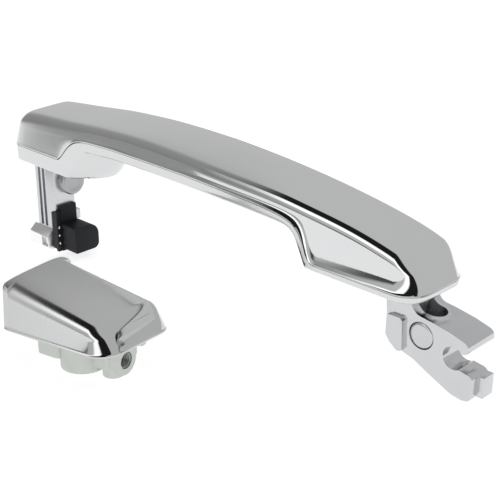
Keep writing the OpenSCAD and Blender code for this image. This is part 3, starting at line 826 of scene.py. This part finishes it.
HOOK_SIDE = [
    (HOOK_X0, FRONT_EDGE_Z), (HOOK_X0 + 0.2, -5), (96.5, -14.4), (97.2, -17), (99, -19.4), (102.2, -21.7),
    (108.3, -23.3), (113.1, -25.7), (120, -28.8), (124.2, -30.6), (128.3, -31.3), (131.2, -30.8),
    (132.3, -29.6), (132.3, -22.2), (131.1, -21.2), (127, -20.6), (NOTCH_X, -20.4), (NOTCH_X, -14.2),
    (127, -14.3), (129, -14.2), (130, -13), (129.8, -11), (128.4, -9.8), (122.3, -8.2), (114.6, -6.9),
    (108.8, -6.2), (106.6, -4), (HOOK_X0 + HOOK_ROOT_X, -1), (HOOK_X0 + HOOK_ROOT_X, FRONT_EDGE_Z),
]


def make_pivot_hook():
    outline = rounded(HOOK_SIDE, 3.5, 4)
    hook = extrude(outline, "y", HOOK_Y0, HOOK_Y0 + HOOK_W)
    jaw_y = HOOK_Y0 + JAW_W
    minus(
        hook,
        block((106, jaw_y, -40), (146, jaw_y + 10, -NOTCH_DEPTH - 2.5)),
        plus(block((104, HOOK_Y0 + 3.6, -14), (111, HOOK_Y0 + 12, 16)),
             cylinder((111, HOOK_Y0 + 7.8, -14), "z", 4.2, 30)),
    )
    pad = rounded([
        (97.6, -8.8), (103.2, -8.6), (104.2, -9.6), (104.6, -21), (102.4, -21.4), (99.2, -19), (97.4, -16.6),
    ], 0.8, 4)
    plus(
        hook,
        extrude(pad, "y", HOOK_Y0 - 2, HOOK_Y0 + 0.5),
        block((130, HOOK_Y0 + 3.5, -29.8), (134.6, jaw_y, -22.2)),
    )
    mouth = (-NOTCH_DEPTH - NOTCH_MOUTH / 2, -NOTCH_DEPTH + NOTCH_MOUTH / 2 - 1.2)
    minus(
        hook,
        cylinder((NOTCH_X, -30, -NOTCH_DEPTH), "y", NOTCH_R, 60, 96),
        block((NOTCH_X, -20, mouth[0]), (NOTCH_X + 20, 20, mouth[1])),
        cylinder((PIN_AT[0], HOOK_Y0 - 1, PIN_AT[1]), "y", PIN_R + 0.25, 5, 96),
    )
    softened(hook, 0.5)
    return place(hook, "hook_casting", "pivot_hook", "handle", "hook_metal")


def make_hook_pin():
    pin = lathe([
        (0, -0.25), (PIN_R - 1.4, -0.25), (PIN_R - 0.7, -0.15), (PIN_R - 0.25, 0.1),
        (PIN_R, 0.5), (PIN_R, 3.4),
    ], "y", (PIN_AT[0], HOOK_Y0, PIN_AT[1]), 96)
    return place(pin, "pin_end", "hook_pin", "handle", "pin_steel")


# ---------------------------------------------------------------- end cap

cap_near_z = Profile([
    (0, CAP_H), (9, CAP_H - 1.9), (22, CAP_H - 4.2), (36, CAP_H - 6.6), (CAP_L - 10, CAP_LOW_H - 0.4),
    (CAP_L - 5, CAP_LOW_H - 1.2), (CAP_L, CAP_LOW_H - 2.2),
], 1.6)


def cap_top_z(x, y):
    v = np.clip(2 * y / CAP_W, -1, 1)
    crown = CAP_CROWN - CAP_CROWN_LOSS * clamp01(x / CAP_L)
    return cap_near_z(x) + CAP_TILT * (1 + v) + crown * (1 - v**4)


def cap_ring(loop, out, h, part, off):
    """One ring of the cap, made as shell_ring makes the handle's; out is how far the lip stands out.

    The flat end has a tighter top edge, less flare and no lip.
    """
    x, y, nx, ny = loop.T
    swell, s, a = swell_share(loop), swell_turn(h, part), math.pi / 2 * part
    soft = CAP_EDGE_R + CAP_EDGE_MORE * clamp01(1 - (x + CAP_L / 2) / CAP_L)
    r = np.where(x < -CAP_L / 2 + CAP_FLAT_EDGE, CAP_FLAT_SHARE * CAP_EDGE_R, soft) - off * DEPTH_SHARE
    r = np.maximum(CAP_LEAST_R, r)
    flare = CAP_FLARE - CAP_FLARE_LOSS * np.maximum(0, -nx)
    plain = flare * h + r * (1 - math.cos(a))
    curved = (flare + r) * swell_in(s)
    inset = off - np.where(nx < -0.4, 0, out) + (1 - swell) * plain + swell * curved
    end_in = CAP_END_IN * swell_in(s) * clamp01((x - CAP_L / 2 + CAP_END_RUN) / CAP_END_RUN)
    py = y - ny * inset
    qx = x - nx * inset + CAP_L / 2 + CAP_SKEW * py - end_in
    zt = cap_top_z(qx, py) - off
    rv = np.minimum(r, zt - CAP_RIM_Z - LEAST_WALL)
    plain_z = (zt - rv - CAP_RIM_Z) * h + rv * math.sin(a)
    swell_z = (zt - CAP_RIM_Z) * swell_up(s)
    return np.column_stack([qx, py, CAP_RIM_Z + (1 - swell) * plain_z + swell * swell_z])


CAP_EDGE_RINGS = 13


def at_height(ring, z):
    return np.column_stack([ring[:, :2], np.full(len(ring), float(z))])


def cap_rings(loop, off):
    walls = [cap_ring(loop, 0, h, 0, off) for h in np.linspace(0, 1, WALL_RINGS)[:-1]]
    tops = [cap_ring(loop, 0, 1, part, off) for part in np.linspace(0, 1, CAP_EDGE_RINGS)]
    return walls + tops


CAP_REAR_R = 4.2
CAP_NEAR_R = 8.5
CAP_FAR_R = 6
cap_stations = np.linspace(-CAP_L / 2 + CAP_REAR_R, CAP_L / 2 - CAP_NEAR_R, 34)
CAP_CORNER_Q = 8
CAP_END_MIDS = 22
cap_m = len(cap_stations) + 2 * CAP_CORNER_Q - 1
cap_k = 2 * CAP_CORNER_Q + CAP_END_MIDS
cap_loop = plan_loop(
    CAP_L / 2, CAP_W / 2, CAP_REAR_R, CAP_NEAR_R, CAP_FAR_R, cap_stations, CAP_CORNER_Q, CAP_END_MIDS)


def make_cap_shell():
    down = list(reversed(cap_rings(cap_loop, SHELL_T)))
    inner = cap_ring(cap_loop, 0, 0, 0, SHELL_T)
    lip = cap_ring(cap_loop, CAP_LIP, 0, 0, 0)
    tight = cap_ring(cap_loop, CAP_LIP - CAP_LIP_R, 0, 0, 0)
    down += [at_height(inner, 0.3), at_height(cap_ring(cap_loop, 0, 0, 0, SHELL_T - CAP_LIP_R), 0)]
    down += [
        at_height(tight, 0),
        at_height(lip, CAP_LIP_R),
        at_height(lip, CAP_RIM_Z - 0.4),
        at_height(tight, CAP_RIM_Z - 0.2),
    ]
    verts, faces = skinned(
        cap_rings(cap_loop, 0), down, cap_m, cap_k, cap_top_z, lambda x, y: cap_top_z(x, y) - SHELL_T)
    return place(solid(verts, faces), "cap_skin", "cap_shell", "end_cap", "cap_chrome", FROM_CAP, angle=45)


PLATE_T = 1.6
INSERT_Y = -3.2
INSERT_Z = -6.2
INSERT_R = 3.3
INSERT_LEN = 11
THREAD_R = 2.5
THREAD_PITCH = 0.8
BODY_X0 = 12
BOSS_X1 = CAP_L - 4
PEG_AT = (43.6, 10.8)
PEG_LEN = 6.2


def make_cap_body():
    body = extrude([(3.8, -12.9), (38, -12.9), (43.6, -7), (46, 12.9), (6, 12.9)], "z", 0, PLATE_T)
    lobe = rounded([(BODY_X0, -13.5), (BODY_X0 + 12, -13.5), (BODY_X0 + 12, 8.5), (BODY_X0, 8.5)], 2.5, 8)
    pocket = rounded([
        (BODY_X0 + 14, -10), (BODY_X0 + 32.5, -10), (BODY_X0 + 32.5, 8), (BODY_X0 + 14, 8)], 1.5, 6)
    plus(
        body,
        extrude(lobe, "z", -8, 0.2),
        cylinder((BODY_X0 + 17, -5.6, -11.4), "z", 9, 11.6, 96),
        extrude(pocket, "z", -8.6, 0.2),
        block((BOSS_X1 - 13, INSERT_Y - 5.8, INSERT_Z), (BOSS_X1, INSERT_Y + 5.8, 0.2)),
        cylinder((BOSS_X1 - 13, INSERT_Y, INSERT_Z), "x", 5.8, 13, 96),
        cylinder((BOSS_X1 - 4.6, INSERT_Y - 2, -12), "z", 4.2, 8, 64),
    )
    minus(body, cylinder((BOSS_X1 - INSERT_LEN, INSERT_Y, INSERT_Z), "x", INSERT_R, 20, 96))
    softened(body, 0.7, 4)
    return place(body, "cap_casting", "cap_body", "end_cap", "cap_cast", FROM_CAP)


def make_cap_insert():
    outer = [(INSERT_R, 0), (INSERT_R, INSERT_LEN - 0.7), (INSERT_R - 0.3, INSERT_LEN - 0.4)]
    bore = [(THREAD_R + 0.35, INSERT_LEN - 0.4)]
    h = INSERT_LEN - 0.7
    while h > 1.6:
        bore += [(THREAD_R, h), (THREAD_R, h - 0.2), (THREAD_R + 0.3, h - 0.4), (THREAD_R + 0.3, h - 0.5)]
        h -= THREAD_PITCH
    bore += [(THREAD_R, 1), (0, 1)]
    insert = lathe([(0, 0)] + outer + bore, "x", (BOSS_X1 - INSERT_LEN, INSERT_Y, INSERT_Z), 72)
    return place(insert, "screw_insert", "cap_insert", "end_cap", "insert_steel", FROM_CAP, angle=25)


def make_cap_peg():
    peg = lathe([
        (0, -0.8), (0.9, -0.8), (1.3, -0.65), (1.85, -0.1), (2, 0.3), (2, PEG_LEN),
    ], "z", (*PEG_AT, -PEG_LEN), 48)
    return place(peg, "peg_post", "cap_peg", "end_cap", "peg_cast", FROM_CAP)


make_outer_shell()
make_inner_cover()
make_latch_leg()
make_leg_boss()
make_leg_foot()
make_guide_shoe()
make_shoe_studs()
make_pivot_hook()
make_hook_pin()
make_cap_shell()
make_cap_body()
make_cap_insert()
make_cap_peg()
# The pieces inside the handle are shown as the CAD made them.
for hidden, slot in (("carrier_beam", "beam_steel"), ("carrier_screws", "screw_steel")):
    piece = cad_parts[hidden]
    piece.data.materials.clear()
    piece.data.materials.append(LOOKS[slot])


# ---------------------------------------------------------------- studio

FLOOR_Z = cad_box[0][2] - 0.0015
FLOOR_HALF = 3.0
FLOOR_GREY = 0.55
FLOOR_GLOW = 0.76
CARD_GREY = 0.42
CARD_FOOT = Vector((-0.375, -0.195, FLOOR_Z))
CARD_ALONG = Vector((0.755, -0.655, 0))
CARD_HALF = 0.075
CARD_H = 0.2


def make_sheet(name, corners, material, grey, glow=0.0):
    """A flat matt sheet of the studio."""
    mesh = bpy.data.meshes.new(name)
    mesh.from_pydata([tuple(c) for c in corners], [], [(0, 1, 2, 3)])
    sheet = add_object(name, mesh)
    mat = bpy.data.materials.new(material)
    mat.use_nodes = True
    shader = mat.node_tree.nodes["Principled BSDF"]
    shader.inputs["Base Color"].default_value = (grey, grey, grey, 1)
    shader.inputs["Roughness"].default_value = 0.9
    shader.inputs["Emission Color"].default_value = (1, 1, 1, 1)
    shader.inputs["Emission Strength"].default_value = glow
    mesh.materials.append(mat)
    return sheet


def make_floor():
    s = FLOOR_HALF
    make_sheet(
        "floor", [(-s, -s, FLOOR_Z), (s, -s, FLOOR_Z), (s, s, FLOOR_Z), (-s, s, FLOOR_Z)],
        "floor_white", FLOOR_GREY, FLOOR_GLOW)


def make_card():
    """A grey card beside the latch end, out of the camera's sight, that its near wall mirrors."""
    across = CARD_ALONG * CARD_HALF
    up = Vector((0, 0, CARD_H))
    corners = [
        CARD_FOOT - across, CARD_FOOT + across, CARD_FOOT + across + up, CARD_FOOT - across + up]
    card = make_sheet("grey_card", corners, "card_grey", CARD_GREY)
    card.visible_camera = False
    card.visible_shadow = False
    card.visible_diffuse = False


# Brightness of the room by the angle from straight up round the X axis, towards the near side:
# one list for directions well behind the latch end, and one for directions nearer to the middle.
BEHIND = [(-180, 0.64), (-50, 0.64), (0, 0.36), (70, 0.27), (84, 0.5), (92, 0.9), (180, 0.9)]
MIDDLE = [(-180, 0.64), (-27, 0.64), (-21, 0.015), (24, 0.015), (30, 1.6), (46, 1.6), (54, 0.62),
          (74, 0.62), (80, 0.08), (88, 0.08), (94, 0.9), (180, 0.9)]
# The X of a direction where BEHIND gives way to MIDDLE.
CHANGE_X = (-0.62, -0.50)
# The bands slant: they turn by BAND_SLANT between these two X, and go on turning past them.
BAND_SLANT = math.radians(11)
SLANT_X = (-0.6, -0.3)
# One dark patch of the room: its direction, half angles of its core and of its faded edge, brightness.
PATCH_TOWARD = Vector((-0.60, 0.80, 0.0))
PATCH_CORE = math.radians(4)
PATCH_FADE = math.radians(11)
PATCH_LEVEL = 0.05


def make_world():
    world = bpy.data.worlds.new("studio")
    bpy.context.scene.world = world
    world.use_nodes = True
    tree = world.node_tree
    tree.nodes.clear()
    make = node_maker(tree)
    link = tree.links.new
    out = make("ShaderNodeOutputWorld", 1600, 0)
    back = make("ShaderNodeBackground", 1400, 0, {"Color": (1, 1, 1, 1)})
    link(back.outputs[0], out.inputs[0])
    where = make("ShaderNodeTexCoord", -1200, 0)
    parts = make("ShaderNodeSeparateXYZ", -1000, 0)
    link(where.outputs["Generated"], parts.inputs[0])
    toward = make("ShaderNodeMath", -800, 100, {1: -1}, operation="MULTIPLY")
    link(parts.outputs["Y"], toward.inputs[0])
    turn = make("ShaderNodeMath", -600, 100, operation="ARCTAN2")
    link(toward.outputs[0], turn.inputs[0])
    link(parts.outputs["Z"], turn.inputs[1])
    slant = make("ShaderNodeMapRange", -600, 300, ranges(SLANT_X, (0, BAND_SLANT)), clamp=False)
    link(parts.outputs["X"], slant.inputs["Value"])
    slanted = make("ShaderNodeMath", -500, 100, operation="SUBTRACT")
    link(turn.outputs[0], slanted.inputs[0])
    link(slant.outputs[0], slanted.inputs[1])
    along = make("ShaderNodeMapRange", -400, 100, ranges((-math.pi, math.pi)))
    link(slanted.outputs[0], along.inputs["Value"])
    bands = []
    for row, steps in enumerate((BEHIND, MIDDLE)):
        band = make("ShaderNodeFloatCurve", -150, 300 - 300 * row)
        curve = band.mapping.curves[0]
        curve.points[0].location = (0, steps[0][1] / 2)
        curve.points[1].location = (1, steps[-1][1] / 2)
        for angle, value in steps[1:-1]:
            curve.points.new((angle + 180) / 360, value / 2)
        for point in curve.points:
            point.handle_type = "VECTOR"
        band.mapping.update()
        link(along.outputs[0], band.inputs["Value"])
        bands.append(band)
    change = make("ShaderNodeMapRange", -150, -400, ranges(CHANGE_X), interpolation_type="SMOOTHSTEP")
    link(parts.outputs["X"], change.inputs["Value"])
    mix = make("ShaderNodeMix", 200, 100, data_type="FLOAT")
    link(change.outputs[0], mix.inputs[0])
    link(bands[0].outputs[0], mix.inputs[2])
    link(bands[1].outputs[0], mix.inputs[3])
    dot = make("ShaderNodeVectorMath", 200, -300, {1: PATCH_TOWARD.normalized()}, operation="DOT_PRODUCT")
    link(where.outputs["Generated"], dot.inputs[0])
    share = make(
        "ShaderNodeMapRange", 400, -300, ranges((math.cos(PATCH_FADE), math.cos(PATCH_CORE))),
        interpolation_type="SMOOTHSTEP")
    link(dot.outputs["Value"], share.inputs["Value"])
    patch = make("ShaderNodeMix", 600, 0, {3: PATCH_LEVEL / 2}, data_type="FLOAT")
    link(share.outputs[0], patch.inputs[0])
    link(mix.outputs[0], patch.inputs[2])
    # The curves hold half the brightness, because they end at 1.
    double = make("ShaderNodeMath", 1200, 0, {1: 2}, operation="MULTIPLY")
    link(patch.outputs[0], double.inputs[0])
    link(double.outputs[0], back.inputs["Strength"])


KEY_SIZE = 1.6
KEY_ENERGY = 1.5
KEY_AT = (-0.1, -0.1, 1.1)


def make_key():
    """A broad light overhead, seen only by matt surfaces."""
    light = bpy.data.lights.new("key", "AREA")
    light.shape = "SQUARE"
    light.size = KEY_SIZE
    light.energy = KEY_ENERGY
    key = bpy.data.objects.new("key", light)
    key.location = KEY_AT
    key.visible_glossy = False
    key.visible_camera = False
    bpy.context.scene.collection.objects.link(key)


VIEW_AZIMUTH = math.radians(44.3)
VIEW_ELEVATION = math.radians(23)
VIEW_DISTANCE = 0.4371
VIEW_TARGET = Vector((22.46 - NOTCH_X, 1.30, -10.42 + NOTCH_DEPTH)) * MM
LENS = 80
SENSOR_W = 36


def make_camera():
    data = bpy.data.cameras.new("camera")
    data.lens = LENS
    data.sensor_width = SENSOR_W
    data.clip_start = 0.01
    camera = bpy.data.objects.new("camera", data)
    back = Vector((
        math.sin(VIEW_AZIMUTH) * math.cos(VIEW_ELEVATION),
        -math.cos(VIEW_AZIMUTH) * math.cos(VIEW_ELEVATION),
        math.sin(VIEW_ELEVATION),
    ))
    camera.location = VIEW_TARGET + back * VIEW_DISTANCE
    camera.rotation_euler = back.to_track_quat("Z", "Y").to_euler()
    bpy.context.scene.collection.objects.link(camera)
    bpy.context.scene.camera = camera


make_floor()
make_card()
make_world()
make_key()
make_camera()
bpy.context.scene.view_settings.view_transform = "Standard"
